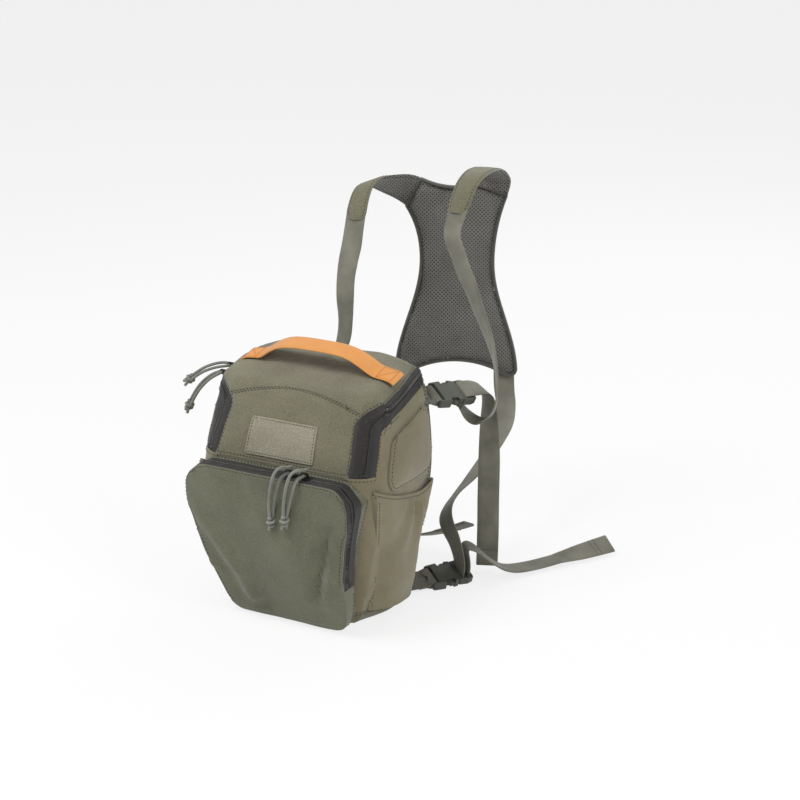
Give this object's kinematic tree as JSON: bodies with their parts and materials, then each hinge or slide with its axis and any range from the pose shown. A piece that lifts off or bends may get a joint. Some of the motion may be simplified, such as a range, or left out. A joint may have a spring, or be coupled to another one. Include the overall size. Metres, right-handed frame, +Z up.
{
  "type": "binocular harness pack",
  "caption": "Padded chest case for binoculars with a zipped lid, a zipped front pocket, stretch side pockets and a webbing back harness with side-release buckles.",
  "frame": {"origin": "on the floor, in the middle of the case's width, 60 mm behind its front wall", "axes": "+Z up, -Y out of the case's front, +X to the right when the front is looked at"},
  "size_m": [0.4291, 0.4372, 0.4475],
  "materials": {
    "shell_fabric": "matt woven nylon, coated inside",
    "side_fabric": "smooth stretch woven",
    "flap_fabric": "matt woven nylon",
    "zip_tape": "coated zip tape with moulded coil",
    "foam": "closed-cell foam in lining",
    "orange_webbing": "woven webbing",
    "patch": "bare woven patch",
    "webbing": "woven webbing",
    "buckle": "moulded acetal",
    "slider_metal": "black painted die-cast zinc",
    "pull_cord": "round braided cord",
    "mesh": "open spacer mesh",
    "yoke_cover": "matt woven nylon"
  },
  "bodies": {
    "pack": {"base_panel": "shell_fabric", "back_panel": "shell_fabric", "front_wall": "shell_fabric", "right_side_panel": "shell_fabric", "left_side_panel": "shell_fabric", "side_foams": "foam", "back_foam": "foam", "base_foam": "foam", "main_zip_case_tape": "zip_tape", "pocket_lower": "shell_fabric", "pocket_zip_case_tape": "zip_tape", "right_side_pad": "side_fabric", "left_side_pad": "side_fabric", "right_side_pocket": "side_fabric", "left_side_pocket": "side_fabric", "anchor_loops": "webbing", "upper_right_socket": "buckle", "upper_left_socket": "buckle", "lower_right_socket": "buckle", "lower_left_socket": "buckle"},
    "lid": {"lid_front_panel": "shell_fabric", "lid_top_panel": "shell_fabric", "lid_foam": "foam", "main_zip_lid_tape": "zip_tape", "label_patch": "patch", "handle": "orange_webbing"},
    "pocket_flap": {"pocket_flap": "flap_fabric", "pocket_zip_flap_tape": "zip_tape"},
    "main_slider_front": {"main_slider_front": "slider_metal"},
    "main_slider_rear": {"main_slider_rear": "slider_metal"},
    "main_pull_front": {"main_pull_tab_front": "slider_metal", "main_pull_cord_front": "pull_cord"},
    "main_pull_rear": {"main_pull_tab_rear": "slider_metal", "main_pull_cord_rear": "pull_cord"},
    "pocket_slider_left": {"pocket_slider_left": "slider_metal"},
    "pocket_slider_right": {"pocket_slider_right": "slider_metal"},
    "pocket_pull_left": {"pocket_pull_cord_left": "pull_cord"},
    "pocket_pull_right": {"pocket_pull_cord_right": "pull_cord"},
    "clip_upper_right": {"upper_right_clip": "buckle", "upper_right_prongs": "buckle", "upper_right_tail": "webbing"},
    "clip_upper_left": {"upper_left_clip": "buckle", "upper_left_prongs": "buckle", "upper_left_tail": "webbing"},
    "clip_lower_right": {"lower_right_clip": "buckle", "lower_right_prongs": "buckle", "lower_right_tail": "webbing"},
    "clip_lower_left": {"lower_left_clip": "buckle", "lower_left_prongs": "buckle", "lower_left_tail": "webbing"},
    "harness": {"yoke_mesh": "mesh", "yoke_foam": "foam", "yoke_cover": "yoke_cover", "right_shoulder_arm": "yoke_cover", "left_shoulder_arm": "yoke_cover", "upper_right_strap": "webbing", "upper_left_strap": "webbing", "lower_right_strap": "webbing", "lower_left_strap": "webbing"}
  },
  "joints": [
    {"name": "lid_hinge", "type": "hinge", "parent": "pack", "child": "lid", "pos_m": [0, -0.06, 0.176], "axis": [1, 0, 0], "range_deg": [0, 70]},
    {"name": "pocket_hinge", "type": "hinge", "parent": "pack", "child": "pocket_flap", "pos_m": [0, -0.08325, 0.057], "axis": [1, 0, 0], "range_deg": [0, 70]},
    {"name": "main_slider_front_run", "type": "slide", "parent": "pack", "child": "main_slider_front", "axis": [0, -0.9717, -0.2364], "range_m": [0, 0.009]},
    {"name": "main_slider_rear_run", "type": "slide", "parent": "pack", "child": "main_slider_rear", "axis": [0, 0.9717, 0.2364], "range_m": [0, 0.03]},
    {"name": "pocket_slider_left_run", "type": "slide", "parent": "pocket_flap", "child": "pocket_slider_left", "axis": [-1, 0, 0], "range_m": [0, 0.085]},
    {"name": "pocket_slider_right_run", "type": "slide", "parent": "pocket_flap", "child": "pocket_slider_right", "axis": [1, 0, 0], "range_m": [0, 0.03]},
    {"name": "main_pull_front_swing", "type": "hinge", "parent": "main_slider_front", "child": "main_pull_front", "pos_m": [-0.11345, 0.017, 0.24188], "axis": [0, -0.2364, 0.9717], "range_deg": [0, 30]},
    {"name": "main_pull_rear_swing", "type": "hinge", "parent": "main_slider_rear", "child": "main_pull_rear", "pos_m": [-0.11345, 0.033, 0.24577], "axis": [0, 0.2364, -0.9717], "range_deg": [0, 60]},
    {"name": "pocket_pull_left_swing", "type": "hinge", "parent": "pocket_slider_left", "child": "pocket_pull_left", "pos_m": [0.022, -0.07745, 0.1776], "axis": [0, 1, 0], "range_deg": [0, 35]},
    {"name": "pocket_pull_right_swing", "type": "hinge", "parent": "pocket_slider_right", "child": "pocket_pull_right", "pos_m": [0.041, -0.07745, 0.1776], "axis": [0, -1, 0], "range_deg": [0, 35]},
    {"name": "clip_upper_right_pull_out", "type": "slide", "parent": "pack", "child": "clip_upper_right", "axis": [0.4208, 0.9016, -0.1002], "range_m": [0, 0.02], "deforming": ["upper_right_prongs", "upper_right_strap"]},
    {"name": "clip_upper_left_pull_out", "type": "slide", "parent": "pack", "child": "clip_upper_left", "axis": [-0.4208, 0.9016, -0.1002], "range_m": [0, 0.02], "deforming": ["upper_left_prongs", "upper_left_strap"]},
    {"name": "clip_lower_right_pull_out", "type": "slide", "parent": "pack", "child": "clip_lower_right", "axis": [0.5524, 0.8336, 0], "range_m": [0, 0.018], "deforming": ["lower_right_prongs", "lower_right_strap"]},
    {"name": "clip_lower_left_pull_out", "type": "slide", "parent": "pack", "child": "clip_lower_left", "axis": [-0.5524, 0.8336, 0], "range_m": [0, 0.018], "deforming": ["lower_left_prongs", "lower_left_strap"]},
    {"name": "harness_tilt", "type": "hinge", "parent": "pack", "child": "harness", "pos_m": [0, 0.11, 0.2], "axis": [1, 0, 0], "range_deg": [-15, 20], "deforming": ["upper_right_strap", "upper_left_strap", "lower_right_strap", "lower_left_strap"]}
  ]
}
